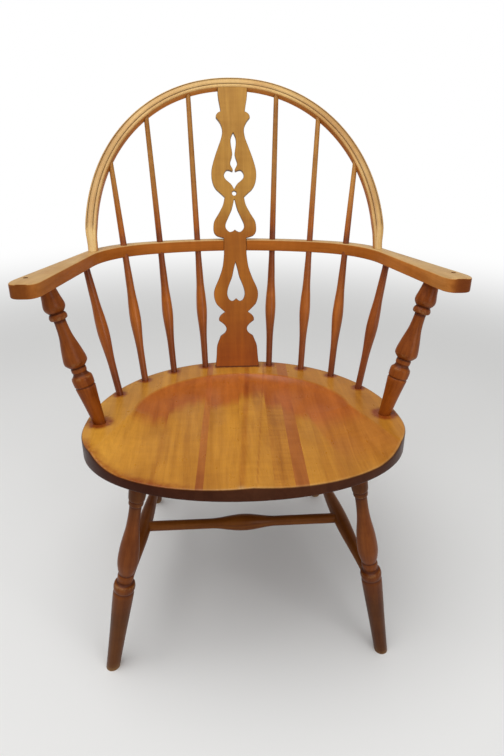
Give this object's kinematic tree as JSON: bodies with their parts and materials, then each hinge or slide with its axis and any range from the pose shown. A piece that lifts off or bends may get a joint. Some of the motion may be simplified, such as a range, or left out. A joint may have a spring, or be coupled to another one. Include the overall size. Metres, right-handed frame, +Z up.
{
  "type": "captains chair",
  "caption": "Wooden captains chair with a saddled seat, raked turned legs and H stretcher, a bent arm rail and a bow back of spindles round a pierced splat.",
  "frame": {"origin": "on the floor, under the middle of the whole chair", "axes": "+Z up, the sitter faces -Y, +X is on the right of someone facing the chair's front"},
  "size_m": [0.6972, 0.648, 0.959],
  "materials": {
    "seat_golden": "satin lacquer over golden maple",
    "seat_red": "satin lacquer over darker red-brown boards",
    "splat_wood": "satin lacquer, amber brown",
    "spindle_wood": "satin lacquer, red brown",
    "bent_wood": "satin lacquer, light on top and orange brown on the sides",
    "turned_wood": "satin lacquer, dark orange brown"
  },
  "bodies": {
    "root": {"seat_board_1": "seat_golden", "seat_board_2": "seat_golden", "seat_board_3": "seat_red", "seat_board_4": "seat_golden", "seat_board_5": "seat_golden", "seat_board_6": "seat_golden", "seat_board_7": "seat_red", "seat_board_8": "seat_golden", "seat_board_9": "seat_golden", "arm_rail": "bent_wood", "back_bow": "bent_wood", "splat": "splat_wood", "centre_stretcher": "turned_wood", "long_spindle_left_1": "spindle_wood", "long_spindle_left_2": "spindle_wood", "long_spindle_left_3": "spindle_wood", "short_spindle_left": "spindle_wood", "arm_post_left": "turned_wood", "side_stretcher_left": "turned_wood", "front_leg_left": "turned_wood", "rear_leg_left": "turned_wood", "long_spindle_right_1": "spindle_wood", "long_spindle_right_2": "spindle_wood", "long_spindle_right_3": "spindle_wood", "short_spindle_right": "spindle_wood", "arm_post_right": "turned_wood", "side_stretcher_right": "turned_wood", "front_leg_right": "turned_wood", "rear_leg_right": "turned_wood"}
  },
  "joints": []
}
